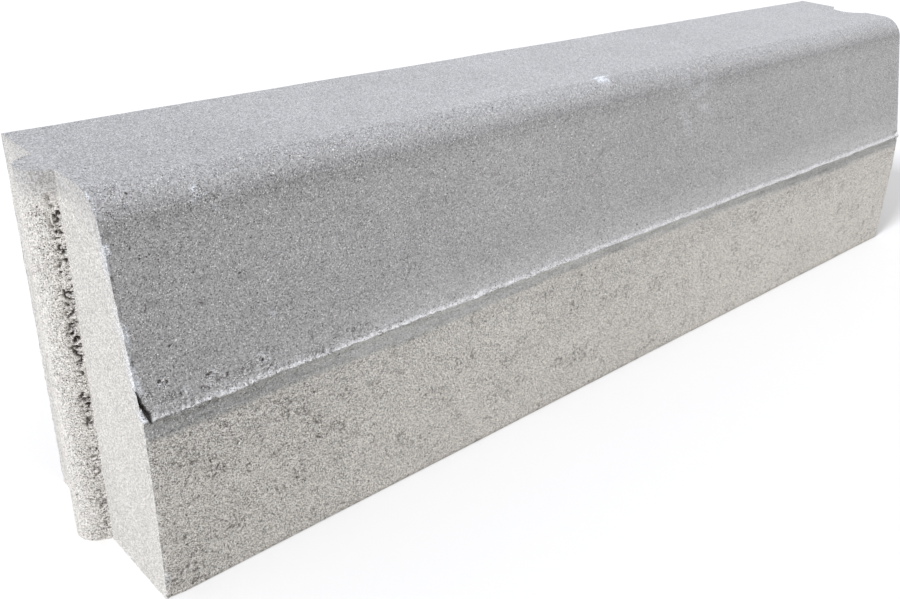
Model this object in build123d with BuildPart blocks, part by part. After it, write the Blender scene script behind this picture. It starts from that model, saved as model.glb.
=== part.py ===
from build123d import *
import os

# Concrete kerb stone: one cast piece, laid in a row with others of its kind.
# X runs along the row, the battered face looks to -Y, and Z is up.
# The origin is on the bed, at the middle of the laying length and of the base.
# All sizes are in millimetres.

# Overall sizes
laying_length = 1000.0  # from end face to end face, without the tongue
height = 280.0
base_width = 170.0
top_width = 138.0  # from the back to where the planes of top and batter meet

# Front face, from the top down: batter, ledge, lip, hollow, plumb foot
lip_height = 140.5  # of the lip's nose above the bed
ledge_run = 3.5  # how far the ledge comes forward from the foot of the batter
ledge_rise = 3.5  # how far the ledge drops on the way
hollow_depth = 2.0  # how far the face is set back under the lip
lip_underside = 4.0  # drop from the lip's nose to the deepest line of the hollow
hollow_drop = 40.0  # drop from the lip's nose to where the hollow runs out

# Rounded edges
top_round = 25.0  # between batter and top
cove_round = 10.0  # where the batter turns out into the ledge
edge_round = 2.0  # along the back edge of the top and both edges of the bed
lip_round = 1.0  # on the lip's nose
hollow_round = 3.0  # in the deepest line of the hollow
runout_round = 60.0  # where the hollow runs out into the foot

# Tongue on one end face, and the groove for it in the other
tongue_setback = 70.0  # from the back face to the tongue's middle
tongue_root = 35.0  # width where it leaves the end face
tongue_tip = 28.0  # width where its rounded nose begins
tongue_reach = 17.0
nose_crown = 9.0  # how much of the reach is the rounded nose
joint_clearance = 4.0  # left for mortar all round the tongue in its groove

front = -base_width / 2
back = base_width / 2
tongue_end = -laying_length / 2
groove_end = laying_length / 2
tongue_middle = back - tongue_setback

# Outline of the tongue seen from above, with its root on the Y axis and its nose to -X
with BuildSketch() as tongue_outline:
    with BuildLine():
        nose_base = -(tongue_reach - nose_crown)
        right_flank = Line((0, tongue_root / 2), (nose_base, tongue_tip / 2))
        nose = ThreePointArc(right_flank @ 1, (-tongue_reach, 0), (nose_base, -tongue_tip / 2))
        left_flank = Line(nose @ 1, (0, -tongue_root / 2))
        Line(left_flank @ 1, right_flank @ 0)
    make_face()

# The neighbour's tongue with the clearance round it, which is the groove
with BuildSketch() as groove_outline:
    add(tongue_outline.sketch)
    offset(amount=joint_clearance, kind=Kind.INTERSECTION)

with BuildPart() as kerb_stone:
    # Section across the row, run along the laying length
    with BuildSketch(Plane.YZ.offset(tongue_end)) as section:
        top_corner = (back - top_width, height)
        batter_foot = (front + ledge_run, lip_height + ledge_rise)
        lip_nose = (front, lip_height)
        hollow_line = (front + hollow_depth, lip_height - lip_underside)
        hollow_foot = (front, lip_height - hollow_drop)
        plain_corners = [(front, 0), (back, 0), (back, height)]
        with BuildLine():
            Polyline(
                *plain_corners,
                top_corner,
                batter_foot,
                lip_nose,
                hollow_line,
                hollow_foot,
                close=True,
            )
        make_face()
        rounds = [(corner, edge_round) for corner in plain_corners]
        rounds += [
            (top_corner, top_round),
            (batter_foot, cove_round),
            (lip_nose, lip_round),
            (hollow_line, hollow_round),
            (hollow_foot, runout_round),
        ]
        for corner, radius in rounds:
            fillet(section.vertices().sort_by_distance(corner)[0], radius)
    extrude(amount=laying_length)

    # Tongue over the full height, flush with the top and the bed
    with BuildSketch():
        with Locations((tongue_end, tongue_middle)):
            add(tongue_outline.sketch)
    extrude(amount=height)

    # Groove over the full height, open at the top and at the bed
    with BuildSketch():
        with Locations((groove_end, tongue_middle)):
            add(groove_outline.sketch)
    extrude(amount=height, mode=Mode.SUBTRACT)

kerb_stone.part.label = "kerb_stone"
os.makedirs("parts", exist_ok=True)
export_step(kerb_stone.part, "parts/kerb_stone.step")
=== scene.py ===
"""Dress the cast concrete kerb stone: its worn mesh, its concrete, the studio and the camera."""

import logging
import math
from collections.abc import Callable, Sequence
from dataclasses import dataclass, field
from enum import Enum
from functools import partial
from typing import Any

import bmesh
import bpy
from mathutils import Matrix, Vector, noise


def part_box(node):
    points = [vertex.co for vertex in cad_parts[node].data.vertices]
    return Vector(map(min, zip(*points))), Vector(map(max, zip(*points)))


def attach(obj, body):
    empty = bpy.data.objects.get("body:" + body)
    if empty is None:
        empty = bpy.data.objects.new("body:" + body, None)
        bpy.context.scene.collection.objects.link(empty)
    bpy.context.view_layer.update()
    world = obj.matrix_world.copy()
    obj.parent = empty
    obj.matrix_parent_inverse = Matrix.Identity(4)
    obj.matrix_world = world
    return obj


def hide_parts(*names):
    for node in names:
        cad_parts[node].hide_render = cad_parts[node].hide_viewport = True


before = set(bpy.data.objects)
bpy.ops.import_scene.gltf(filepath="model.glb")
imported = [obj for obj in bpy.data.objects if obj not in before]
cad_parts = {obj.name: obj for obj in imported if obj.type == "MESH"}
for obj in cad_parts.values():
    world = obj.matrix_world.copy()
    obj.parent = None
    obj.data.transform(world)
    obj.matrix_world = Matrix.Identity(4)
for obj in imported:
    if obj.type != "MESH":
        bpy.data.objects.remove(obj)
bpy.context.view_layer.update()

MM = 0.001
NODE = "kerb_stone"
BODY = "root"
ON_PLACE = 0.02 * MM
MATH = "ShaderNodeMath"
MIX = "ShaderNodeMix"
NOISE = "ShaderNodeTexNoise"
VORONOI = "ShaderNodeTexVoronoi"
# What the values of a noise lie about
MIDDLE = 0.5

log = logging.getLogger("kerb_stone")


class Axis(Enum):
    """The three directions that the stone is cut across."""

    LENGTH = 0
    DEPTH = 1
    HEIGHT = 2

    @property
    def vector(self) -> Vector:
        """Give the unit vector of the direction."""
        return Vector(1.0 if index == self.value else 0.0 for index in range(3))


class Zone(Enum):
    """The faces of the stone, each with its own texture from the mould."""

    TOP = "top"
    ROUND = "round of the top's front edge"
    BATTER = "batter"
    LIP = "lip"
    FOOT = "foot"
    BACK = "back"
    BED = "bed"
    TONGUE = "tongue"
    TONGUE_END = "tongue end"
    GROOVE_END = "groove end"


FACED = {Zone.TOP, Zone.ROUND, Zone.BATTER, Zone.LIP}


def linear(hex_colour: str) -> tuple[float, ...]:
    """Turn an sRGB hex colour with a leading hash into linear red, green, blue and an alpha of 1."""
    channels = [int(hex_colour[start:start + 2], 16) / 255 for start in (1, 3, 5)]
    return (*(c / 12.92 if c <= 0.04045 else ((c + 0.055) / 1.055) ** 2.4 for c in channels), 1.0)


def ramp(value: float, low: float, high: float) -> float:
    """Rise smoothly from 0 at low to 1 at high, or fall where high is the smaller."""
    share = min(max((value - low) / (high - low), 0.0), 1.0)
    return share * share * (3.0 - 2.0 * share)


def fade(value: float, span: tuple[float, float], level: float = 0.0) -> float:
    """Rise from 0 to 1 over a span in millimetres, counted from a level in metres."""
    return ramp(value, level + span[0] * MM, level + span[1] * MM)


def is_at(vertex: bmesh.types.BMVert, **goals: float) -> bool:
    """Tell whether a vertex lies at the given coordinates, named x, y and z."""
    return all(abs(getattr(vertex.co, axis) - goal) < ON_PLACE for axis, goal in goals.items())


def add_node(
    tree: bpy.types.NodeTree, kind: str, inputs: Sequence[Any] | dict[str, Any] = (), **settings: Any
) -> bpy.types.Node:
    """Add a node with its settings, values and links.

    Args:
        tree: the node tree that takes the node.
        kind: Blender's name for the kind of node.
        inputs: a value, or a node or socket to link, for the open inputs in order or by name.
        settings: the node's own properties.

    Returns:
        The new node.
    """
    node = tree.nodes.new(kind)
    for name, value in settings.items():
        setattr(node, name, value)
    if isinstance(inputs, dict):
        pairs = [(node.inputs[name], value) for name, value in inputs.items()]
    else:
        pairs = list(zip([socket for socket in node.inputs if socket.enabled], inputs))
    for socket, value in pairs:
        if isinstance(value, bpy.types.Node):
            value = next(output for output in value.outputs if output.enabled)
        if isinstance(value, bpy.types.NodeSocket):
            tree.links.new(value, socket)
        else:
            socket.default_value = value
    return node


@dataclass
class Bench:
    """A mesh held in edit mode, where operators cut, move and divide it."""

    piece: bpy.types.Object

    def __enter__(self) -> "Bench":
        """Go into edit mode on the piece alone.

        Returns:
            The bench itself.
        """
        bpy.ops.object.select_all(action="DESELECT")
        self.piece.select_set(True)
        bpy.context.view_layer.objects.active = self.piece
        bpy.ops.object.mode_set(mode="EDIT")
        return self

    def __exit__(self, *_: object) -> None:
        """Go back to object mode."""
        bpy.ops.object.mode_set(mode="OBJECT")

    def pick(self, element: str, test: Callable[[Any], bool]) -> int:
        """Select the vertices, edges or faces that pass a test.

        Args:
            element: "verts", "edges" or "faces".
            test: tells whether one of them is selected.

        Returns:
            How many are selected.
        """
        bpy.ops.mesh.select_mode(type={"verts": "VERT", "edges": "EDGE", "faces": "FACE"}[element])
        bpy.ops.mesh.select_all(action="DESELECT")
        shape = bmesh.from_edit_mesh(self.piece.data)
        picked = [part for part in getattr(shape, element) if test(part)]
        for part in picked:
            part.select_set(True)
        shape.select_flush_mode()
        bmesh.update_edit_mesh(self.piece.data, loop_triangles=False, destructive=False)
        return len(picked)

    def cut(self, axis: Axis, place: float, test: Callable[[Any], bool] | None = None) -> None:
        """Cut the faces across an axis, all of them or those that pass a test.

        Args:
            axis: the direction that the cut is square to.
            place: where on that axis the cut is.
            test: tells whether a face is cut.
        """
        if test:
            self.pick("faces", test)
        else:
            bpy.ops.mesh.select_all(action="SELECT")
        bpy.ops.mesh.bisect(plane_co=axis.vector * place, plane_no=axis.vector, threshold=ON_PLACE)

    def shift(self, move: Vector, test: Callable[[Any], bool]) -> None:
        """Move the vertices that pass a test."""
        if self.pick("verts", test):
            bpy.ops.transform.translate(value=move)

    def round_off(self, offset: float, segments: int, test: Callable[[Any], bool]) -> None:
        """Round the edges that pass a test, in some flats that begin at an offset from the old edge."""
        self.pick("edges", test)
        bpy.ops.mesh.bevel(offset=offset, segments=segments, profile=0.5, affect="EDGES")

    def halve(self, test: Callable[[Any], bool]) -> None:
        """Halve the edges that pass a test, and the faces between them."""
        if self.pick("edges", test):
            bpy.ops.mesh.subdivide(number_cuts=1)


@dataclass(frozen=True)
class Corner:
    """A corner of the section, with the radius that rounds it."""

    depth: float
    height: float
    radius: float
    segments: int


@dataclass(frozen=True)
class StoneSizes:
    """Sizes of the section and of the end joint, in metres."""

    tongue_end: float
    groove_end: float
    front: float
    back: float
    height: float
    tongue_reach: float
    top_setback: float = 32 * MM
    lip_height: float = 140.5 * MM
    ledge_run: float = 3.5 * MM
    ledge_rise: float = 3.5 * MM
    hollow_depth: float = 2 * MM
    lip_underside: float = 4 * MM
    hollow_drop: float = 40 * MM
    top_round: float = 25 * MM
    cove_round: float = 10 * MM
    edge_round: float = 2 * MM
    lip_round: float = 1 * MM
    hollow_round: float = 3 * MM
    runout_round: float = 60 * MM
    tongue_setback: float = 70 * MM
    tongue_root: float = 35 * MM
    tongue_tip: float = 28 * MM
    nose_crown: float = 9 * MM
    joint_clearance: float = 4 * MM

    @classmethod
    def from_frame(cls) -> "StoneSizes":
        """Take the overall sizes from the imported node.

        Returns:
            The sizes of the stone.
        """
        low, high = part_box(NODE)
        return cls(
            tongue_end=-high.x,
            groove_end=high.x,
            front=low.y,
            back=high.y,
            height=high.z,
            tongue_reach=-high.x - low.x,
        )

    @property
    def batter_foot(self) -> float:
        """Give the height at which the batter ends on the ledge."""
        return self.lip_height + self.ledge_rise

    @property
    def hollow_line(self) -> float:
        """Give the height of the deepest line of the hollow."""
        return self.lip_height - self.lip_underside

    @property
    def hollow_foot(self) -> float:
        """Give the height at which the hollow has run out."""
        return self.lip_height - self.hollow_drop

    @property
    def tongue_middle(self) -> float:
        """Give the depth of the tongue's middle line."""
        return self.back - self.tongue_setback

    @property
    def tongue_front(self) -> float:
        """Give the depth of the tongue's front edge where it leaves the end face."""
        return self.tongue_middle - self.tongue_root / 2

    @property
    def lean(self) -> float:
        """Give the angle by which the batter leans back."""
        return math.atan2(self.top_setback - self.ledge_run, self.height - self.batter_foot)

    @property
    def round_foot(self) -> float:
        """Give the height at which the top's large round begins on the batter."""
        return self.height - self.top_round * (1 - math.sin(self.lean))

    def setback(self, at: Vector) -> float:
        """Give how far a point of an end face lies behind the batter."""
        batter = self.front + self.ledge_run + (at.z - self.batter_foot) * math.tan(self.lean)
        return (at.y - batter) * math.cos(self.lean)

    def section(self) -> list[Corner]:
        """Give the corners of the section in order, from the bed's front edge round the back.

        Returns:
            The corners.
        """
        front, back = self.front, self.back
        return [
            Corner(front, 0.0, self.edge_round, 2),
            Corner(back, 0.0, self.edge_round, 2),
            Corner(back, self.height, self.edge_round, 2),
            Corner(front + self.top_setback, self.height, self.top_round, 12),
            Corner(front + self.ledge_run, self.batter_foot, self.cove_round, 3),
            Corner(front, self.lip_height, self.lip_round, 2),
            Corner(front + self.hollow_depth, self.hollow_line, self.hollow_round, 2),
            Corner(front, self.hollow_foot, self.runout_round, 1),
        ]

    def joint_rows(self, allowance: float, steps: int = 6) -> list[tuple[float, float]]:
        """Give the rows of points that make the tongue, or the groove with a clearance.

        Args:
            allowance: the clearance round the tongue.
            steps: how many flats the rounded nose has.

        Returns:
            The offset from the middle line and the reach of each row.
        """
        half_tip = self.tongue_tip / 2
        radius = (half_tip**2 + self.nose_crown**2) / (2 * self.nose_crown)
        centre = self.tongue_reach - radius
        widest = math.asin(half_tip / radius)
        angles = [widest * (2 * step / steps - 1) for step in range(steps + 1)]
        grown = radius + allowance
        nose = [(grown * math.sin(angle), centre + grown * math.cos(angle)) for angle in angles]
        flank = math.atan2((self.tongue_root - self.tongue_tip) / 2, self.tongue_reach - self.nose_crown)
        root = self.tongue_root / 2 + allowance / math.cos(flank)
        return [(-root, 0.0), *nose, (root, 0.0)]


def graded_stops(start: float, stop: float, first: float, last: float) -> list[float]:
    """Space stops along a line with steps that grow evenly from one end to the other.

    Args:
        start: the end with the first step.
        stop: the end with the last step.
        first: about the length of the first step.
        last: about the length of the last step.

    Returns:
        The stops between the two ends.
    """
    count = max(2, round(2 * (stop - start) / (first + last)))
    steps = [first + (last - first) * index / (count - 1) for index in range(count)]
    scale = (stop - start) / sum(steps)
    return [start + scale * sum(steps[:index]) for index in range(1, count)]


@dataclass(frozen=True)
class Cells:
    """How finely a zone is diced: the number of halvings, and the size that isn't halved again."""

    halvings: int
    smallest: float = 1.3 * MM


@dataclass
class KerbStone:
    """The cast stone: a block that is cut, rounded, jointed and diced, and then weathered."""

    sizes: StoneSizes
    name: str = "kerb_stone_cast"
    joint_margin: float = 1.5
    length_cells: tuple[float, float] = (12 * MM, 24 * MM)
    height_cell: float = 14 * MM
    depth_cell: float = 15 * MM
    arris_cuts: tuple[float, ...] = (0.7 * MM, 1.4 * MM, 2.2 * MM, 3.2 * MM)
    halving_rounds: int = 4
    arris_strip: float = 7 * MM
    lip_strip: float = 22 * MM
    near_foot: float = 130 * MM
    far_foot: float = 420 * MM
    wedge_foot: float = 215 * MM
    piece: bpy.types.Object | None = field(default=None, init=False)

    CELLS = {
        Zone.TOP: Cells(1),
        Zone.ROUND: Cells(2, 3 * MM),
        Zone.BATTER: Cells(2),
        Zone.LIP: Cells(3),
        Zone.FOOT: Cells(3),
        Zone.BACK: Cells(0),
        Zone.BED: Cells(0),
        Zone.TONGUE: Cells(2),
        Zone.TONGUE_END: Cells(2),
        Zone.GROOVE_END: Cells(1),
    }
    # How far a normal leans along its axis on the bed, the top, the two ends and the back
    BED_LEAN, TOP_LEAN, TONGUE_LEAN, GROOVE_LEAN, BACK_LEAN = -0.6, 0.98, -0.8, 0.3, 0.6
    # How far the zone of the lip reaches below the hollow's line and above the batter's foot
    LIP_BELOW, LIP_ABOVE = 1 * MM, 2 * MM

    def build(self) -> None:
        """Model the stone."""
        self.cast_block()
        with Bench(self.piece) as bench:
            self.shape_front(bench)
            self.round_edges(bench)
            self.shape_end(bench, self.sizes.tongue_end, 0.0)
            self.shape_end(bench, self.sizes.groove_end, self.sizes.joint_clearance)
            self.dice(bench)
            for level in range(self.halving_rounds):
                bench.halve(lambda edge: self.is_coarse(edge, level))

    def cast_block(self) -> None:
        """Add the plain block that the section is cut from."""
        low = Vector((self.sizes.tongue_end, self.sizes.front, 0.0))
        high = Vector((self.sizes.groove_end, self.sizes.back, self.sizes.height))
        bpy.ops.object.select_all(action="DESELECT")
        bpy.ops.mesh.primitive_cube_add(size=1)
        self.piece = bpy.context.object
        self.piece.name = self.piece.data.name = self.name
        self.piece.scale = high - low
        self.piece.location = (low + high) / 2
        bpy.ops.object.transform_apply(location=True, rotation=True, scale=True)

    def shape_front(self, bench: Bench) -> None:
        """Lean the front back to a batter and draw in the hollow under the lip.

        Args:
            bench: the mesh in edit mode.
        """
        size = self.sizes
        corners = [corner for corner in size.section() if corner.depth < 0.0]
        for corner in corners:
            if 0.0 < corner.height < size.height:
                bench.cut(Axis.HEIGHT, corner.height)
        for corner in corners:
            move = Vector((0, corner.depth - size.front, 0))
            bench.shift(move, lambda v: is_at(v, y=size.front, z=corner.height))

    def round_edges(self, bench: Bench) -> None:
        """Round each long edge with its own radius.

        Args:
            bench: the mesh in edit mode.
        """
        corners = self.sizes.section()
        for index, corner in enumerate(corners):
            before, after = corners[index - 1], corners[(index + 1) % len(corners)]
            came = Vector((corner.depth - before.depth, corner.height - before.height))
            goes = Vector((after.depth - corner.depth, after.height - corner.height))
            bench.round_off(
                corner.radius * math.tan(came.angle(goes) / 2),
                corner.segments,
                lambda e: all(is_at(v, y=corner.depth, z=corner.height) for v in e.verts),
            )

    def shape_end(self, bench: Bench, end: float, allowance: float) -> None:
        """Push the rows of one end outwards to the tongue, or inwards to the groove.

        Args:
            bench: the mesh in edit mode.
            end: the end face's place along the stone.
            allowance: the clearance of the groove, or 0 for the tongue.
        """
        size = self.sizes
        outward = math.copysign(1.0, end)
        depth = self.joint_margin * (size.tongue_reach + allowance)
        bench.cut(Axis.LENGTH, end - outward * depth)
        rows = [(size.tongue_middle + offset, reach) for offset, reach in size.joint_rows(allowance)]
        for row, _ in rows:
            bench.cut(Axis.DEPTH, row, lambda f: outward * (f.calc_center_median().x - end) > -depth)
        for row, reach in rows:
            bench.shift(Vector((-reach, 0, 0)), lambda v: is_at(v, x=end, y=row))

    def dice(self, bench: Bench) -> None:
        """Cut the long faces into cells, smaller towards the tongue end.

        Args:
            bench: the mesh in edit mode.
        """
        size, tall, deep = self.sizes, self.height_cell, self.depth_cell
        lengths = graded_stops(size.tongue_end, size.groove_end, *self.length_cells)
        cuts = {
            Axis.LENGTH: [*lengths, *(size.tongue_end + stop for stop in self.arris_cuts)],
            Axis.HEIGHT: [
                *graded_stops(0.0, size.hollow_foot, tall, tall),
                *graded_stops(size.hollow_foot, size.hollow_line, tall, tall),
                *graded_stops(size.batter_foot, size.round_foot, tall, tall),
            ],
            Axis.DEPTH: graded_stops(size.front, size.back, deep, deep),
        }
        for axis, stops in cuts.items():
            for stop in stops:
                bench.cut(axis, stop)

    def zone(self, centre: Vector, normal: Vector) -> Zone:
        """Tell which face of the stone a place belongs to.

        Args:
            centre: the place.
            normal: the way that the surface looks there.

        Returns:
            The zone of the stone.
        """
        size = self.sizes
        for zone, found in (
            (Zone.BED, normal.z < self.BED_LEAN),
            (Zone.TOP, normal.z > self.TOP_LEAN),
            (Zone.TONGUE, centre.x < size.tongue_end - ON_PLACE),
            (Zone.TONGUE_END, normal.x < self.TONGUE_LEAN),
            (Zone.GROOVE_END, normal.x > self.GROOVE_LEAN),
            (Zone.BACK, normal.y > self.BACK_LEAN),
            (Zone.FOOT, centre.z < size.hollow_line - self.LIP_BELOW),
            (Zone.LIP, centre.z < size.batter_foot + self.LIP_ABOVE),
            (Zone.ROUND, centre.z > size.round_foot),
        ):
            if found:
                return zone
        return Zone.BATTER

    def is_coarse(self, edge: bmesh.types.BMEdge, level: int) -> bool:
        """Tell whether an edge is halved at this level.

        Args:
            edge: the edge to judge.
            level: how many halvings came before.

        Returns:
            Whether a face beside it asks for smaller cells.
        """
        size, length = self.sizes, edge.calc_length()
        for face in edge.link_faces:
            centre = face.calc_center_median()
            zone = self.zone(centre, face.normal)
            cells = self.CELLS[zone]
            halvings = cells.halvings
            along = centre.x - size.tongue_end
            if zone is Zone.FOOT:
                halvings += (along < self.near_foot) - (along > self.far_foot)
            if zone is Zone.LIP:
                halvings += along < self.near_foot
            if zone is Zone.BATTER and centre.z < size.batter_foot + self.lip_strip:
                halvings += (along < self.near_foot) + (along < self.far_foot)
            if zone in FACED:
                halvings += along < self.arris_strip
            if zone is Zone.TONGUE:
                halvings += 2 * (centre.y < size.tongue_middle - size.tongue_tip / 4)
            if zone is Zone.TONGUE_END:
                halvings += centre.z > self.wedge_foot and centre.y < size.tongue_middle
            if halvings > level and length > cells.smallest:
                return True
        return False

    def dress(self, concrete: bpy.types.Material) -> None:
        """Put the concrete on the stone and set it in the frame.

        Args:
            concrete: the material of the whole casting.
        """
        self.piece.data.materials.append(concrete)
        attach(self.piece, BODY)
        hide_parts(NODE)


@dataclass(frozen=True)
class Place:
    """A point of the smooth stone, before any relief."""

    at: Vector
    along: float
    zone: Zone

    def far(self, span: tuple[float, float]) -> float:
        """Rise from 0 to 1 over a span of distances from the tongue end."""
        return fade(self.along, span)

    def high(self, span: tuple[float, float], level: float = 0.0) -> float:
        """Rise from 0 to 1 over a span of heights above a level."""
        return fade(self.at.z, span, level)

    def drift(self, length: float, height: float, seed: float) -> float:
        """Read smooth noise, in blots of a length along the stone and a height in millimetres."""
        across, up = self.at.y / (height * MM), self.at.z / (height * MM)
        return noise.noise(Vector((self.at.x / (length * MM) + seed, across - seed, up)))


def only_on(*zones: Zone) -> Callable[..., Any]:
    """Limit a method that reads a place to some zones, so that it gives 0 elsewhere.

    Args:
        zones: where the method counts.

    Returns:
        The decorator for the method.
    """

    def limit(method: Callable[[Any, Place], float]) -> Callable[[Any, Place], float]:
        """Wrap the method."""
        return lambda owner, place: method(owner, place) if place.zone in zones else 0.0

    return limit


@dataclass(frozen=True)
class Pattern:
    """A cloudy pattern: the size of its blots, and the values that count as 0 and as 1.

    In relief it bites where it is 0. A folded one is a net of lines along its middle value.
    """

    size: float
    low: float
    high: float
    folded: bool = False

    def texture(self, name: str) -> bpy.types.Texture:
        """Make the pattern's texture.

        Args:
            name: what the texture is called.

        Returns:
            The new texture, black where it bites.
        """
        texture = bpy.data.textures.new(name, "CLOUDS")
        texture.noise_scale = self.size
        texture.use_color_ramp = True
        stops = texture.color_ramp.elements
        for stop, position, shade in ((stops[0], self.low, 0.0), (stops[1], self.high, 1.0)):
            stop.position = position
            stop.color = (shade, shade, shade, 1.0)
        return texture


class Way(Enum):
    """The way that a layer of relief bites, as Blender's name for it and its sign."""

    INWARD = ("NORMAL", 1.0)
    BACKWARD = ("Y", -1.0)
    DOWNWARD = ("Z", 1.0)


@dataclass(frozen=True)
class Relief:
    """One layer of relief: how deep it bites, where, in what pattern and how much shade is painted into it.

    At a level of 1 it only bites, and at 0.5 it rises as much as it falls.
    """

    name: str
    depth: float
    where: Callable[[Place], float]
    pattern: Pattern | None = None
    way: Way = Way.INWARD
    # How much painted shade darkens the places that it bites
    shade: float = 0.0
    level: float = 1.0


@dataclass(frozen=True)
class Scar:
    """A mark on the front: its distance from the tongue end, its height, its radius and its full core."""

    along: float
    height: float
    radius: float
    core: float = 0.4

    def on(self, place: Place) -> float:
        """Give how strongly it marks a place, from 0 at its rim to 1 near its middle."""
        gap = math.hypot(place.along - self.along, place.at.z - self.height)
        return ramp(gap, self.radius, self.core * self.radius)


def scars(*marks: tuple[float, float, float]) -> tuple[Scar, ...]:
    """Make scars from their distance, height and radius in millimetres."""
    return tuple(Scar(along * MM, height * MM, radius * MM) for along, height, radius in marks)


def deepest(marks: tuple[Scar, ...], place: Place) -> float:
    """Give how strongly the nearest of some scars marks a place."""
    return max(mark.on(place) for mark in marks)


@dataclass
class Weathering:
    """What demoulding, handling and time have done to the stone, and the shade and highlights painted on it.
    """

    stone: KerbStone
    places: list[Place] = field(default_factory=list, init=False)
    cavity: list[float] = field(default_factory=list, init=False)

    # Single holes in the face mix, most of them close above the lip
    PITS = scars(
        (1.8, 230, 2.2), (15, 276, 1.6), (17, 271, 1.8), (18, 267, 1.4), (16, 161, 1.9), (20, 160, 1.8),
        (47, 155, 2.8), (50, 156, 2.2), (53, 150, 2.2), (27, 149, 2.2), (42, 148, 2.2), (45, 147, 2.0),
        (60, 151, 2.0), (85, 152, 2.4), (98, 180, 2.2), (52, 201, 1.5), (33, 175, 1.4),
    )
    # Patches where the face mix is rough, with pores and pale grains
    ROUGH = scars(
        (15, 277, 3), (17, 272, 4), (18, 267, 3), (56, 262, 4), (62, 268, 5), (68, 262, 5), (75, 262, 4),
        (72, 255, 4), (8, 155, 5), (18, 160, 6), (50, 153, 8), (30, 149, 6), (85, 152, 8), (98, 180, 4),
    )
    # Clumps of holes in the foot
    TEARS = scars(
        (53, 118, 5), (72, 104, 6), (62, 100, 5), (40, 95, 8), (40, 84, 6), (20, 88, 5), (68, 76, 6),
        (28, 72, 5), (58, 33, 6), (23, 30, 6), (100, 108, 9), (147, 103, 8), (180, 88, 9), (110, 73, 6),
        (122, 76, 6), (133, 79, 6), (200, 41, 8), (108, 43, 6), (138, 50, 7), (116, 10, 8), (1, 103, 3),
    )
    # Where the film of cement on the arris has crumbled into white flecks
    FLECKS = scars((1, 276, 2), (1, 269, 1.8), (1, 246, 6), (1.5, 195, 9), (1.5, 167, 13), (1, 16, 8))
    SMUDGES = scars((835, 101, 12), (870, 98, 11))
    # A pale stain of lime on the batter
    STAIN = scars((573, 247, 42))
    # The crack beside the lip's end, from the arris down
    CRACK = scars((0.5, 160, 0.7), (2.3, 150.5, 1.3), (4.3, 145, 1.9), (5.6, 141.5, 1.8), (5.2, 138.5, 1.1))
    CRACK_REACH = 10 * MM
    # The scuff from another stone on the top's front edge, longer than it is wide
    SCUFF_ALONG, SCUFF_DEPTH, SCUFF_STRETCH = 456 * MM, -39 * MM, 1.3
    # How pale each zone is at the tongue end, near the middle and at the groove end
    TONES = {
        Zone.TOP: (0.90, 1.01, 1.04),
        Zone.ROUND: (0.94, 1.00, 1.08),
        Zone.BATTER: (0.94, 1.09, 1.20),
        Zone.LIP: (0.94, 1.07, 1.14),
        Zone.FOOT: (0.92, 1.05, 1.14),
        Zone.TONGUE: (0.97, 1.0, 1.0),
    }
    # Spans in millimetres, from where a mark begins to where it is full
    # Distances from the tongue end
    SAG, FEW_PINHOLES, MANY_PINHOLES = (620, 760), (560, 200), (230, 100)
    FIN_WIDTH, GAP_STARTS, GAP_ENDS = (2.0, 0.8), (1.2, 2.0), (4.0, 2.4)
    FILM_WIDTH, FOOT_FILM_WIDTH, FLECK_WIDTH = (1.8, 0.9), (1.4, 0.7), (4.6, 3)
    SKIN_NARROWS, SKIN_WIDENS, SKIN_SOFTENS = (180, 500), (620, 800), (400, 620)
    SKIN_PALES, SKIN_DARKENS = (60, 160), (560, 760)
    NEAR_TONES, FAR_TONES, BATTER_PALES = (30, 320), (320, 900), (60, 200)
    LEDGE_WIDENS, LEDGE_PALES = (150, 320), (350, 150)
    # Heights above the bed
    COMB_TOP, COMB_THINS, FILM_TOP, FILM_FOOT = (266, 259), (125, 65), (254, 244), (139, 143)
    TONGUE_FACED, TONGUE_OPENS, BACK_FACED = (256, 274), (264, 248), (246, 264)
    COVER_STARTS, COVER_THICKENS, FOOT_DARKENS = (222, 242), (248, 265), (85, 125)
    # Heights above the lip's nose
    NOSE_STARTS, LEDGE_STARTS, SKIN_TOP, FOOT_OPENS = (-3, -1), (-1.5, 0), (0.5, -1), (-11, -22)
    # Heights above the batter's foot
    LEDGE_ENDS, FIN_STARTS, PINHOLES_LOW, BATTER_LOW = (2, -1.5), (0, 5), (24, 6), (30, 2)
    # Distances from a line or a point
    NOSE_REACH, COMB_WIDTH, WEAR_WIDTH, FILM_REACH = (7, 2), (3.4, 1.4), (3, 0), (9, 0.5)
    CHIP_REACH, LIP_END_REACH, SCUFF_REACH = (14, 4), (12, 3), (6.5, 3.5)
    ROUND_BAND, SKIN_BORDER = (13, 2), (2.5, 0.5)
    # Without a pattern a layer reads 1 everywhere, and at this level it bites fully
    PLAIN_LEVEL = 2.0
    SMOOTH_ANGLE = math.radians(50)

    @property
    def size(self) -> StoneSizes:
        """Give the stone's sizes."""
        return self.stone.sizes

    def apply(self) -> None:
        """Press every layer of relief into the stone, mark its zones for the material and note the shade
        painted into its hollows.
        """
        mesh = self.stone.piece.data
        self.places = [
            Place(v.co.copy(), v.co.x - self.size.tongue_end, self.stone.zone(v.co, v.normal))
            for v in mesh.vertices
        ]
        self.cavity = [0.0] * len(self.places)
        self.mark_faces()
        for relief in self.layers():
            self.press(relief)
        mesh.attributes.new("cavity", "FLOAT", "POINT").data.foreach_set("value", self.cavity)
        self.stone.piece.vertex_groups.clear()
        bpy.ops.object.shade_smooth_by_angle(angle=self.SMOOTH_ANGLE)

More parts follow.
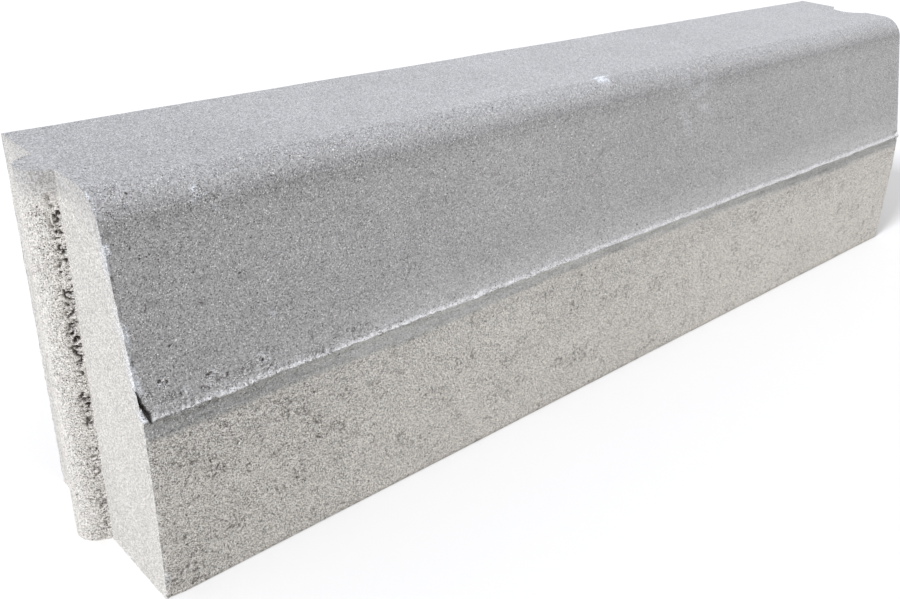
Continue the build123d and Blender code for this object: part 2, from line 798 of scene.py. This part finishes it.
    def layers(self) -> list[Relief]:
        """Give the layers of relief in the order in which they are pressed in.

        Returns:
            The layers.
        """
        waver = Pattern(20 * MM, 0.2, 0.8)
        # A layer's shade is painted shade in what it bites: tears, pinholes, pits, honeycomb, the gap by the
        # fin and the crack
        return [
            Relief("swell", 0.6 * MM, self.outer, Pattern(90 * MM, 0.2, 0.8)),
            Relief("open_face", 0.25 * MM, self.open_face, Pattern(3.5 * MM, 0.25, 0.75)),
            Relief("tears", 1.6 * MM, self.torn, Pattern(2.0 * MM, 0.34, 0.42), shade=0.6),
            Relief("lip_waver", 1.6 * MM, self.lip_nose, waver, Way.DOWNWARD, level=0.5),
            Relief("lip_sag", 1.3 * MM, self.lip_sag, None, Way.DOWNWARD),
            Relief("lip_crumbs", 1.2 * MM, self.ledge, Pattern(3.7 * MM, 0.35, 0.65)),
            Relief("pinholes", 0.9 * MM, self.pinholed, Pattern(2.6 * MM, 0.36, 0.46), shade=0.25),
            Relief("pits", 1.0 * MM, self.pitted, Pattern(1.7 * MM, 0.44, 0.58), shade=0.85),
            Relief("honeycomb", 4.5 * MM, self.honeycombed, Pattern(2.2 * MM, 0.42, 0.5), shade=1.0),
            Relief("worn_arris", 1.2 * MM, self.worn, Pattern(6 * MM, 0.3, 0.7)),
            Relief("fin", -0.9 * MM, self.fin, None, Way.BACKWARD),
            Relief("fin_gap", 1.4 * MM, self.fin_gap, None, Way.BACKWARD, shade=0.7),
            Relief("crack", 6 * MM, self.cracked, None, Way.BACKWARD, shade=0.95),
            Relief("corner_chip", 2.0 * MM, self.chipped, Pattern(4 * MM, 0.4, 0.9), Way.BACKWARD),
            Relief("lip_end", 2.6 * MM, self.lip_end, None, Way.BACKWARD),
        ]

    def press(self, relief: Relief) -> None:
        """Press one layer of relief into the stone, and note where shade is painted into what it bites.

        Args:
            relief: the layer.
        """
        piece = self.stone.piece
        group = piece.vertex_groups.new(name=relief.name)
        texture = relief.pattern.texture(relief.name) if relief.pattern else None
        for index, place in enumerate(self.places):
            weight = min(relief.where(place), 1.0)
            if weight <= 0.0:
                continue
            group.add([index], weight, "REPLACE")
            if relief.shade:
                bite = 1.0 - texture.evaluate(piece.data.vertices[index].co)[0] if texture else 1.0
                self.cavity[index] = max(self.cavity[index], relief.shade * weight * bite)
        change = piece.modifiers.new(relief.name, "DISPLACE")
        direction, sign = relief.way.value
        change.vertex_group = group.name
        change.direction = direction
        change.strength = sign * relief.depth
        change.mid_level = relief.level if texture else self.PLAIN_LEVEL
        if texture:
            change.texture = texture
            change.texture_coords = "LOCAL"
        bpy.ops.object.modifier_apply(modifier=change.name)

    def nearness(self, place: Place) -> float:
        """Give 1 at the tongue end, falling to 0 at the groove end."""
        return 1.0 - place.along / (self.size.groove_end - self.size.tongue_end)

    def outer(self, place: Place) -> float:
        """Tell where the broad faces are a little uneven."""
        return 0.0 if place.zone in (Zone.BED, Zone.TONGUE, Zone.GROOVE_END) else 1.0

    def open_face(self, place: Place) -> float:
        """Tell where the core mix shows an open, sandy face.

        Args:
            place: the point that is read.

        Returns:
            How open it is, from 0 to about 1.
        """
        if place.zone is not Zone.FOOT:
            return {Zone.BACK: 0.5, Zone.TONGUE: 0.15}.get(place.zone, 0.0)
        patchy = 0.75 + 0.35 * place.drift(60, 25, 1.7)
        return place.high(self.FOOT_OPENS, self.size.lip_height) * patchy * (0.5 + 0.5 * self.nearness(place))

    @only_on(Zone.FOOT)
    def torn(self, place: Place) -> float:
        """Tell where the open face is torn into small pits."""
        clumps = ramp(place.drift(22, 9, 3.7), 0.3, 0.55)
        return max(0.4 * clumps * self.open_face(place), 0.8 * deepest(self.TEARS, place))

    @only_on(Zone.LIP, Zone.FOOT, Zone.BATTER)
    def lip_nose(self, place: Place) -> float:
        """Tell where the lip's edge wavers."""
        return fade(abs(place.at.z - self.size.lip_height), self.NOSE_REACH)

    def lip_sag(self, place: Place) -> float:
        """Tell where the lip hangs a little lower, towards the groove end."""
        return self.lip_nose(place) * place.far(self.SAG)

    @only_on(Zone.LIP)
    def ledge(self, place: Place) -> float:
        """Tell where the ledge over the lip is crumbly.

        Args:
            place: the point that is read.

        Returns:
            How crumbly it is, from 0 to 1.
        """
        nose = place.high(self.NOSE_STARTS, self.size.lip_height)
        nose *= place.high(self.LEDGE_ENDS, self.size.batter_foot)
        return nose * (0.6 + 0.4 * ramp(self.nearness(place), 0.2, 0.9))

    @only_on(Zone.BATTER, Zone.LIP)
    def pinholed(self, place: Place) -> float:
        """Tell where the batter has clusters of pinholes, most of them close above the lip.

        Args:
            place: the point that is read.

        Returns:
            How many there are, from 0 to 1.
        """
        share = 0.3 * place.far(self.FEW_PINHOLES) + 0.7 * place.far(self.MANY_PINHOLES)
        share *= place.high(self.PINHOLES_LOW, self.size.batter_foot)
        return share * ramp(place.drift(18, 9, 8.1), 0.0, 0.35)

    @only_on(*FACED)
    def pitted(self, place: Place) -> float:
        """Tell where the larger pits of the face are."""
        return deepest(self.PITS, place)

    @only_on(Zone.TONGUE)
    def honeycombed(self, place: Place) -> float:
        """Tell where the mix was left open along the tongue's front root.

        Args:
            place: the point that is read.

        Returns:
            How open it is, from 0 to 1.
        """
        beside = fade(place.at.y, self.COMB_WIDTH, self.size.tongue_front)
        below = place.high(self.COMB_TOP) * (1.0 - 0.6 * place.high(self.COMB_THINS))
        return beside * below * ramp(place.drift(8, 5, 5.3), -0.2, 0.1)

    @only_on(*FACED, Zone.FOOT, Zone.BACK)
    def worn(self, place: Place) -> float:
        """Tell where the arrises of the two ends are worn."""
        end = min(place.along, self.size.groove_end - place.at.x)
        return fade(end, self.WEAR_WIDTH) * (0.5 if place.zone in FACED else 0.8)

    def arris_film(self, place: Place) -> float:
        """Tell where a film of cement was squeezed out along the arris of the tongue end."""
        stretch = place.high(self.FILM_TOP) * place.high(self.FILM_FOOT)
        return stretch * ramp(place.drift(1000, 11, 2.9), -0.7, 0.0)

    @only_on(Zone.BATTER)
    def fin(self, place: Place) -> float:
        """Tell where that film stands up as a thin fin."""
        height = (0.6 + 0.4 * deepest(self.FLECKS, place)) * self.arris_film(place)
        return place.high(self.FIN_STARTS, self.size.batter_foot) * place.far(self.FIN_WIDTH) * height

    @only_on(Zone.BATTER)
    def fin_gap(self, place: Place) -> float:
        """Tell where the face is open beside the fin."""
        broken = ramp(place.drift(1000, 7, 7.7), -0.1, 0.25) * (1.0 - deepest(self.FLECKS, place))
        return place.far(self.GAP_STARTS) * place.far(self.GAP_ENDS) * self.arris_film(place) * broken

    @only_on(Zone.BATTER, Zone.LIP)
    def cracked(self, place: Place) -> float:
        """Tell where the deep crack runs from the arris down to the lip's end.

        Args:
            place: the point that is read.

        Returns:
            How deep the crack is there, from 0 to 1.
        """
        if place.along > self.CRACK_REACH:
            return 0.0
        here, found = Vector((place.along, place.at.z)), 0.0
        ragged = 0.5 * MM * place.drift(3, 3, 9.1)
        for one, other in zip(self.CRACK, self.CRACK[1:]):
            start = Vector((one.along, one.height))
            run = Vector((other.along, other.height)) - start
            share = min(max((here - start).dot(run) / run.length_squared, 0.0), 1.0)
            radius = one.radius + share * (other.radius - one.radius)
            found = max(found, ramp((here - start - share * run).length + ragged, radius, 0.5 * radius))
        return found

    def chipped(self, place: Place) -> float:
        """Tell where the bottom front corner of the tongue end is chipped."""
        corner = Vector((self.size.tongue_end, self.size.front, 0.0))
        return fade((place.at - corner).length, self.CHIP_REACH)

    @only_on(Zone.LIP, Zone.FOOT)
    def lip_end(self, place: Place) -> float:
        """Tell where the lip is knocked off at the groove end."""
        far_lip = Vector((self.size.groove_end, self.size.front, self.size.lip_height))
        return fade((place.at - far_lip).length, self.LIP_END_REACH)

    def mark_faces(self) -> None:
        """Write what the material needs to know of each face into the mesh."""
        mesh = self.stone.piece.data
        marks = {
            "face_mix": self.face_mix,
            "dust": self.dust,
            "cement_skin": self.cement_skin,
            "bloom": self.bloom,
            "open_grain": self.open_grain,
            "tone": self.tone,
        }
        corners = [
            (vertex, self.stone.zone(polygon.center, polygon.normal))
            for polygon in mesh.polygons
            for vertex in polygon.vertices
        ]
        places = {
            (vertex, zone): Place(self.places[vertex].at, self.places[vertex].along, zone)
            for vertex, zone in set(corners)
        }
        for name, value in marks.items():
            values = {corner: value(place) for corner, place in places.items()}
            attribute = mesh.attributes.new(name, "FLOAT", "CORNER")
            attribute.data.foreach_set("value", [values[corner] for corner in corners])

    def face_mix(self, place: Place) -> float:
        """Tell how much of the fine grey face mix shows.

        Args:
            place: the point that is read.

        Returns:
            The share of face mix, from 0 to 1.
        """
        size, zone, z = self.size, place.zone, place.at.z
        if zone in FACED:
            return place.high(self.NOSE_STARTS, size.lip_height)
        if zone is Zone.TONGUE:
            return 0.7 * place.high(self.TONGUE_FACED)
        if zone in (Zone.TONGUE_END, Zone.GROOVE_END):
            to_top = max(size.top_round - (size.height - z), 0.0)
            to_batter = max(size.top_round - size.setback(place.at), 0.0)
            cover = size.top_round - math.hypot(to_top, to_batter)
            thick = 4.5 * MM + 9.5 * MM * place.high(self.COVER_THICKENS)
            shown = ramp(cover, thick + 1 * MM, thick - 1.5 * MM)
            return 0.52 * shown * place.high(self.COVER_STARTS)
        if zone is Zone.BACK:
            return fade(z + 6 * MM * place.drift(60, 60, 4.4), self.BACK_FACED)
        return 0.0

    def dust(self, place: Place) -> float:
        """Tell where the open core mix is warmer and paler."""
        return {Zone.FOOT: 1.0, Zone.BED: 1.0, Zone.TONGUE: 0.7, Zone.BACK: 0.7}.get(place.zone, 0.0)

    def skin_edge(self, place: Place) -> float:
        """Give the height at which the band of cement under the lip ends.

        Args:
            place: the point that is read.

        Returns:
            The height in metres.
        """
        waver = 2.4 * place.drift(45, 45, 6.6) + 1.6 * place.drift(9, 9, 2.2)
        width = 14.0 - 6.7 * place.far(self.SKIN_NARROWS) + 3.3 * place.far(self.SKIN_WIDENS)
        return self.size.lip_height - (width + waver) * MM

    @only_on(Zone.LIP, Zone.FOOT)
    def cement_skin(self, place: Place) -> float:
        """Tell where the smooth grey band of cement under the lip is.

        Args:
            place: the point that is read.

        Returns:
            The share of cement, from 0 to 1.
        """
        edge = self.skin_edge(place)
        soft = 3 * MM + 5 * MM * place.far(self.SKIN_SOFTENS)
        band = ramp(place.at.z, edge - soft, edge + 2 * MM)
        return band * place.high(self.SKIN_TOP, self.size.lip_height)

    @only_on(Zone.TONGUE_END)
    def film_edge(self, place: Place) -> float:
        """Tell where the film on the arris reaches round to the end face."""
        return fade(self.size.setback(place.at), self.FILM_REACH) * self.arris_film(place)

    def bloom(self, place: Place) -> float:
        """Tell where a pale film of cement lies on the arris, the rough patches and the scuffs, and where
        sheen is painted on the top.

        Args:
            place: the point that is read.

        Returns:
            The share of the film and of the painted sheen and highlight, from 0 to 1.
        """
        fleck = place.far(self.FLECK_WIDTH) * deepest(self.FLECKS, place)
        fleck *= ramp(place.drift(1.5, 1.5, 6.1), -0.25, 0.05)
        if place.zone is Zone.FOOT:
            return max(0.3 * place.far(self.FOOT_FILM_WIDTH), 0.7 * fleck)
        if place.zone not in FACED:
            return 0.45 * self.film_edge(place)
        # The film on the arris: a pale cement film, partly a painted highlight where the fin catches the
        # light
        film = place.far(self.FILM_WIDTH) * self.arris_film(place)
        # A painted bluish sheen of the sky on the top
        thin = 0.08 if place.zone is Zone.TOP else 0.0
        stain = deepest(self.STAIN, place) * ramp(place.drift(16, 9, 4.7), -0.2, 0.3)
        crumbs = deepest(self.ROUGH, place) * ramp(place.drift(1.5, 1.5, 9.4), 0.15, 0.4)
        return max(thin, 0.17 * stain, 0.75 * film, fleck, 0.75 * crumbs, self.scuffed(place))

    @only_on(Zone.LIP, Zone.BATTER)
    def ledge_top(self, place: Place) -> float:
        """Tell where the upper side of the ledge is, which gets a painted highlight."""
        start = self.size.batter_foot - 0.5 * MM + 1.0 * MM * place.far(self.LEDGE_WIDENS)
        return ramp(place.at.z, start, start - 2 * MM) * place.high(self.LEDGE_STARTS, self.size.lip_height)

    @only_on(Zone.TOP, Zone.ROUND)
    def scuffed(self, place: Place) -> float:
        """Tell where another stone has left a white scuff on the top's front edge.

        Args:
            place: the point that is read.

        Returns:
            How white the scuff is, from 0 to 1.
        """
        off = Vector((place.along - self.SCUFF_ALONG, place.at.y - self.SCUFF_DEPTH))
        ragged = 5 * MM * place.drift(6, 4, 1.3)
        return 0.8 * fade(Vector((off.x / self.SCUFF_STRETCH, off.y)).length + ragged, self.SCUFF_REACH)

    def open_grain(self, place: Place) -> float:
        """Tell how open and sandy the surface is.

        Args:
            place: the point that is read.

        Returns:
            How open it is, from 0 to 1.
        """
        zone, size = place.zone, self.size
        if zone is Zone.FOOT:
            return 0.25 + 0.75 * min(self.open_face(place) + 0.4 * self.torn(place), 1.0)
        if zone is Zone.TONGUE:
            beside = ramp(place.at.y, size.tongue_middle, size.tongue_front)
            return place.high(self.TONGUE_OPENS) * (0.15 + 0.6 * beside)
        if zone in FACED:
            plain = {Zone.TOP: 0.12, Zone.ROUND: 0.22}.get(zone, 0.3)
            rough = max(0.8 * self.pinholed(place), 0.9 * deepest(self.ROUGH, place))
            return max(plain, rough, 0.6 * self.ledge(place))
        return {Zone.BACK: 0.6, Zone.BED: 0.8, Zone.GROOVE_END: 0.2}.get(zone, 0.08)

    def tone(self, place: Place) -> float:
        """Give how pale the stone is, from the darker tongue end to the paler groove end, with painted shade
        and highlights.

        Args:
            place: the point that is read.

        Returns:
            The factor on the colour, about 1.
        """
        zone, size, z = place.zone, self.size, place.at.z
        near, middle, far = self.TONES.get(zone, (1.0, 1.0, 1.0))
        pale = near + (middle - near) * place.far(self.NEAR_TONES)
        pale += (far - middle) * place.far(self.FAR_TONES)
        if zone in (Zone.ROUND, Zone.BATTER):
            # Painted shade: a darker band where the top's round turns into the batter
            pale *= 1.0 - 0.11 * fade(abs(z - size.round_foot), self.ROUND_BAND)
        if zone in (Zone.BATTER, Zone.LIP):
            low = place.high(self.BATTER_LOW, size.batter_foot)
            pale *= 1.0 + low * (0.08 + 0.10 * place.far(self.BATTER_PALES))
            # Partly a painted highlight where the ledge faces up, partly the ledge's own paler colour
            pale *= 1.0 + (0.24 + 0.26 * place.far(self.LEDGE_PALES)) * self.ledge_top(place)
        pale *= 1.0 - 0.07 * self.film_edge(place)
        skin = self.cement_skin(place)
        pale *= 1.0 + 0.25 * skin * place.far(self.SKIN_PALES)
        # Painted shade under the lip, deeper towards the groove end
        pale *= 1.0 - 0.18 * skin * place.far(self.SKIN_DARKENS)
        pale *= 1.0 + skin * (0.05 - 0.2 * ramp(place.drift(30, 3, 7.3), 0.0, 0.4))
        if zone is Zone.FOOT:
            pale *= 1.0 - 0.1 * (1.0 - skin) * place.high(self.FOOT_DARKENS)
            border = fade(abs(z - self.skin_edge(place)), self.SKIN_BORDER)
            pale *= 1.0 - 0.16 * border * ramp(place.drift(40, 40, 3.1), -0.2, 0.3)
            pale *= 1.0 - 0.14 * deepest(self.SMUDGES, place)
        return pale


@dataclass(frozen=True)
class Grain:
    """One size of grain in the concrete: its size, its contrast and its relief in millimetres.

    The first value of each pair holds on the closed face, the second is added on the open face.
    """

    kind: str
    output: str
    size: float
    contrast: tuple[float, float]
    relief: tuple[float, float]


class Fill(Enum):
    """What a speck in the concrete is."""

    # A hole, darkened with painted shade
    PORE = "pore"
    QUARTZ = "grain of quartz"


@dataclass(frozen=True)
class Speck:
    """Single pores, darkened with painted shade, or grains: their spacing, largest radius, number and relief
    in millimetres.

    The number is the share of places that hold one, on the closed face and added on the open face.
    Those that are gathered come in clumps on the open face.
    """

    fill: Fill
    spacing: float
    radius: float
    share: tuple[float, float]
    relief: float
    gathered: bool


@dataclass
class Surface:
    """The concrete's nodes so far: what adds them, where they are read, and what they have built up.

    The tone is a factor on the colour that also holds painted shade and highlights, the height is in
    millimetres, and shown tells how much of each fill is seen, with painted shade in the pores.
    """

    add: Callable[..., bpy.types.Node]
    place: bpy.types.NodeSocket
    openness: bpy.types.NodeSocket
    tone: bpy.types.NodeSocket | bpy.types.Node
    shown: dict[Fill, bpy.types.Node | float]
    height: bpy.types.Node | float = 0.0

    def read(self, pattern: Pattern) -> bpy.types.Node:
        """Add the nodes that read a pattern.

        Args:
            pattern: the pattern.

        Returns:
            The node that gives it from 0 to 1.
        """
        value = self.add(NOISE, [self.place, 1 / pattern.size])
        if pattern.folded:
            centred = self.add(MATH, [value, MIDDLE], operation="SUBTRACT")
            value = self.add(MATH, [centred], operation="ABSOLUTE")
        return self.add("ShaderNodeMapRange", [value, pattern.low, pattern.high])


@dataclass(frozen=True)
class CastConcrete:
    """Vibrated concrete from a steel mould: a fine grey face mix over a paler sandy core mix.

    Dry and matt, with no gloss: the eye reads sand grains, pores with painted shade in them and the pale film
    of cement.
    """

    name: str = "vibrated_cast_concrete"
    core_colour: str = "#D0CCC6"
    dust_colour: str = "#DFDAD3"
    face_colour: str = "#AEACAB"
    skin_colour: str = "#ADADAB"
    # Pale cement film, also used for the painted sheen on the top and the highlight on the fin
    bloom_colour: str = "#EEF1F6"
    quartz_colour: str = "#F6F4EF"
    # Dark fill of the pores, tears and the relief's hollows: painted shade
    pore_colour: str = "#4C423E"
    roughness: float = 0.9
    # How dark the painted shade in the relief's hollows gets
    cavity_shade: float = 0.9
    clumps: Pattern = Pattern(14 * MM, 0.46, 0.58)
    # Short lines, broken up by a fine pattern and gathered by a coarse one
    tears: tuple[Pattern, ...] = (
        Pattern(9 * MM, 0.07, 0.03, folded=True),
        Pattern(3 * MM, 0.5, 0.56),
        Pattern(27 * MM, 0.52, 0.6),
    )
    # Painted shade in the tears
    tear_shade: float = 0.7
    tear_depth: float = 0.5
    warp_size: float = 2 * MM
    warp_reach: float = 1.8 * MM
    speck_growth: float = 20.0
    speck_edge: float = 16.0
    dish_edge: float = 6.0
    dish_rim: float = 0.07
    grains: tuple[Grain, ...] = (
        # Clouds of damp and cement, about a hand wide
        Grain(NOISE, "Fac", 90 * MM, (0.18, 0.0), (0.0, 0.0)),
        # Mottling as large as the coarse grit
        Grain(NOISE, "Fac", 9 * MM, (0.10, 0.0), (0.03, 0.03)),
        # Grit of 1.6 mm
        Grain(NOISE, "Fac", 1.6 * MM, (0.12, 0.0), (0.05, 0.05)),
        # Sand of 0.65 mm
        Grain(VORONOI, "Color", 0.65 * MM, (1.1, 0.45), (0.04, 0.1)),
    )
    specks: tuple[Speck, ...] = (
        # Holes left by air and by torn grains
        Speck(Fill.PORE, 4.5 * MM, 0.9 * MM, (0.0, 0.24), -0.8, True),
        # Pores
        Speck(Fill.PORE, 2.2 * MM, 0.56 * MM, (0.0, 0.5), -0.35, True),
        # Fine pores
        Speck(Fill.PORE, 1.0 * MM, 0.38 * MM, (0.02, 0.55), -0.14, False),
        # Grains of quartz
        Speck(Fill.QUARTZ, 2.6 * MM, 0.7 * MM, (0.0, 0.5), 0.3, True),
        # Fine grains of quartz
        Speck(Fill.QUARTZ, 1.1 * MM, 0.42 * MM, (0.03, 0.65), 0.15, False),
    )

    MARKS = ("face_mix", "dust", "cement_skin", "bloom", "open_grain", "tone", "cavity")

    def material(self) -> bpy.types.Material:
        """Make the material.

        Returns:
            The new material.
        """
        material = bpy.data.materials.new(self.name)
        material.use_nodes = True
        material.node_tree.nodes.clear()
        add = partial(add_node, material.node_tree)
        place = add("ShaderNodeTexCoord").outputs["Object"]
        marks = {name: add("ShaderNodeAttribute", attribute_name=name).outputs["Fac"] for name in self.MARKS}
        # Painted shade in the relief's hollows starts the dark fill of the pores
        hollows = add(MATH, [marks["cavity"], self.cavity_shade], operation="MULTIPLY")
        shown = {Fill.QUARTZ: 0.0, Fill.PORE: hollows}
        surface = Surface(add, place, marks["open_grain"], marks["tone"], shown)
        self.add_grains(surface)
        self.add_specks(surface)
        self.add_tears(surface)
        colour: Any = linear(self.core_colour)
        for mark, shade in (
            ("dust", self.dust_colour),
            ("face_mix", self.face_colour),
            ("cement_skin", self.skin_colour),
            ("bloom", self.bloom_colour),
        ):
            colour = add(MIX, [marks[mark], colour, linear(shade)], data_type="RGBA")
        colour = add("ShaderNodeVectorMath", [colour, surface.tone], operation="SCALE")
        for fill, shade in ((Fill.QUARTZ, self.quartz_colour), (Fill.PORE, self.pore_colour)):
            colour = add(MIX, [shown[fill], colour, linear(shade)], data_type="RGBA")
        bump = add("ShaderNodeBump", {"Strength": 1.0, "Distance": MM, "Height": surface.height})
        look = {"Base Color": colour, "Roughness": self.roughness, "Normal": bump}
        add("ShaderNodeOutputMaterial", [add("ShaderNodeBsdfPrincipled", look)])
        return material

    def add_grains(self, surface: Surface) -> None:
        """Add up the grains' light and dark, and their relief.

        Args:
            surface: the nodes so far.
        """
        add = surface.add
        for grain in self.grains:
            pattern = add(grain.kind, [surface.place, 1 / grain.size]).outputs[grain.output]
            centred = add(MATH, [pattern, MIDDLE], operation="SUBTRACT")
            sums = []
            for (closed, opened), so_far in ((grain.contrast, surface.tone), (grain.relief, surface.height)):
                amount = add(MATH, [surface.openness, opened, closed], operation="MULTIPLY_ADD")
                sums.append(add(MATH, [centred, amount, so_far], operation="MULTIPLY_ADD"))
            surface.tone, surface.height = sums

    def add_specks(self, surface: Surface) -> None:
        """Strew single pores with painted shade in them and grains of quartz, in clumps and more of them
        where the surface is open.

        Args:
            surface: the nodes so far.
        """
        add, place, openness, shown = surface.add, surface.place, surface.openness, surface.shown
        clumped = add(MATH, [openness, surface.read(self.clumps)], operation="MULTIPLY")
        wander = add(NOISE, [place, 1 / self.warp_size]).outputs["Color"]
        reach = (self.warp_reach,) * 3
        warped = add("ShaderNodeVectorMath", [wander, reach, place], operation="MULTIPLY_ADD")
        for speck in self.specks:
            where, crowd = (warped, clumped) if speck.gathered else (place, openness)
            closed, opened = speck.share
            cells = add(VORONOI, [where, 1 / speck.spacing])
            lot = add("ShaderNodeSeparateColor", [cells.outputs["Color"]])
            share = add(MATH, [crowd, opened, closed], operation="MULTIPLY_ADD")
            lead = add(MATH, [share, lot], operation="SUBTRACT")
            grown = add(MATH, [lead, self.speck_growth], operation="MULTIPLY", use_clamp=True)
            rim = add(MATH, [grown, speck.radius / speck.spacing], operation="MULTIPLY")
            depth = add(MATH, [rim, cells.outputs["Distance"]], operation="SUBTRACT")
            inside = add(MATH, [depth, self.speck_edge], operation="MULTIPLY", use_clamp=True)
            shown[speck.fill] = add(MATH, [inside, shown[speck.fill]], operation="ADD")
            # The dish is wider and softer than the dark hole in it, so its rim catches the light
            dish = [depth, self.dish_edge, self.dish_edge * self.dish_rim]
            dished = add(MATH, dish, operation="MULTIPLY_ADD", use_clamp=True)
            sunk = add(MATH, [dished, grown], operation="MULTIPLY")
            surface.height = add(MATH, [sunk, speck.relief, surface.height], operation="MULTIPLY_ADD")

    def add_tears(self, surface: Surface) -> None:
        """Tear the open surface along short broken lines, where the mould pulled grains away, with painted
        shade in them.

        Args:
            surface: the nodes so far.
        """
        add, shown = surface.add, surface.shown
        tear: Any = surface.openness
        for pattern in self.tears:
            tear = add(MATH, [tear, surface.read(pattern)], operation="MULTIPLY")
        shown[Fill.PORE] = add(MATH, [tear, self.tear_shade, shown[Fill.PORE]], operation="MULTIPLY_ADD")
        surface.height = add(MATH, [tear, -self.tear_depth, surface.height], operation="MULTIPLY_ADD")


@dataclass(frozen=True)
class Studio:
    """A pale floor, an even sky and one soft key lamp from beyond the tongue end."""

    floor_size: float = 40.0
    floor_shown: str = "#F4F1ED"
    floor_bounce: str = "#AEA89E"
    sky_colour: str = "#F6F9FF"
    sky_strength: float = 0.8
    sky_shown: str = "#FFFFFF"
    key_colour: str = "#F2F7FF"
    key_strength: float = 2.45
    key_spread: float = math.radians(14)
    key_from: tuple[float, float, float] = (-0.78, -0.10, 0.62)

    def build(self) -> None:
        """Lay the floor, hang the lamp and paint the sky."""
        self.lay_floor()
        self.hang_key()
        self.paint_sky()

    def seen_rays(self, tree: bpy.types.NodeTree) -> bpy.types.Node:
        """Tell camera, glossy and transmission rays from the light that falls on the stone.

        Args:
            tree: the node tree that asks.

        Returns:
            A node that gives one for rays that show the background.
        """
        path = add_node(tree, "ShaderNodeLightPath").outputs
        first = add_node(tree, MATH, [path["Is Camera Ray"], path["Is Glossy Ray"]], operation="MAXIMUM")
        return add_node(tree, MATH, [first, path["Is Transmission Ray"]], operation="MAXIMUM")

    def lay_floor(self) -> None:
        """Lay the floor, which looks paler than the light that it throws back."""
        bpy.ops.object.select_all(action="DESELECT")
        bpy.ops.mesh.primitive_plane_add(size=self.floor_size)
        floor = bpy.context.object
        floor.name = floor.data.name = "studio_floor"
        material = bpy.data.materials.new("pale_matt_floor")
        material.use_nodes = True
        tree = material.node_tree
        tree.nodes.clear()
        colours = [self.seen_rays(tree), linear(self.floor_bounce), linear(self.floor_shown)]
        colour = add_node(tree, MIX, colours, data_type="RGBA")
        matt = add_node(tree, "ShaderNodeBsdfDiffuse", [colour])
        add_node(tree, "ShaderNodeOutputMaterial", [matt])
        floor.data.materials.append(material)

    def hang_key(self) -> None:
        """Hang the key lamp, wide enough for soft shadows."""
        lamp = bpy.data.lights.new("key_lamp", "SUN")
        lamp.energy = self.key_strength
        lamp.color = linear(self.key_colour)[:3]
        lamp.angle = self.key_spread
        holder = bpy.data.objects.new("key_lamp", lamp)
        holder.rotation_mode = "QUATERNION"
        holder.rotation_quaternion = Vector(self.key_from).to_track_quat("Z", "Y")
        bpy.context.scene.collection.objects.link(holder)

    def paint_sky(self) -> None:
        """Light the stone from an even sky and show white behind it."""
        world = bpy.data.worlds.new("studio_sky")
        bpy.context.scene.world = world
        world.use_nodes = True
        tree = world.node_tree
        tree.nodes.clear()
        light = add_node(tree, "ShaderNodeBackground", [linear(self.sky_colour), self.sky_strength])
        shown = add_node(tree, "ShaderNodeBackground", [linear(self.sky_shown), 1.0])
        mixed = add_node(tree, "ShaderNodeMixShader", [self.seen_rays(tree), light, shown])
        add_node(tree, "ShaderNodeOutputWorld", [mixed])


@dataclass(frozen=True)
class PhotoCamera:
    """The camera that saw the stone, solved from its straight edges."""

    place: tuple[float, float, float] = (-698.9 * MM, -580.3 * MM, 489.5 * MM)
    azimuth: float = math.radians(-46.18)
    elevation: float = math.radians(25.77)
    roll: float = math.radians(3.52)
    focal_pixels: float = 976.1
    centre_pixel: tuple[float, float] = (517.5, 278.1)
    image_pixels: tuple[int, int] = (900, 599)
    near_clip: float = 10 * MM

    def build(self) -> None:
        """Add the camera and make it the scene's own."""
        width, height = self.image_pixels
        lens = bpy.data.cameras.new("photo_camera")
        lens.lens = self.focal_pixels / width * lens.sensor_width
        lens.shift_x = (width / 2 - self.centre_pixel[0]) / width
        lens.shift_y = (self.centre_pixel[1] - height / 2) / width
        lens.clip_start = self.near_clip
        holder = bpy.data.objects.new("photo_camera", lens)
        back = Vector((
            math.sin(self.azimuth) * math.cos(self.elevation),
            -math.cos(self.azimuth) * math.cos(self.elevation),
            math.sin(self.elevation),
        ))
        turn = back.to_track_quat("Z", "Y").to_matrix() @ Matrix.Rotation(self.roll, 3, "Z")
        holder.matrix_world = Matrix.Translation(Vector(self.place)) @ turn.to_4x4()
        bpy.context.scene.collection.objects.link(holder)
        bpy.context.scene.camera = holder


def main() -> None:
    """Build the stone, the studio and the camera in order."""
    logging.basicConfig(level=logging.INFO, format="%(name)s: %(message)s")
    bpy.context.scene.view_settings.view_transform = "Standard"
    stone = KerbStone(StoneSizes.from_frame())
    stone.build()
    Weathering(stone).apply()
    stone.dress(CastConcrete().material())
    stone.piece.data.calc_loop_triangles()
    log.info("%s: %d triangles", stone.piece.name, len(stone.piece.data.loop_triangles))
    Studio().build()
    PhotoCamera().build()


if __name__ == "__main__":
    main()
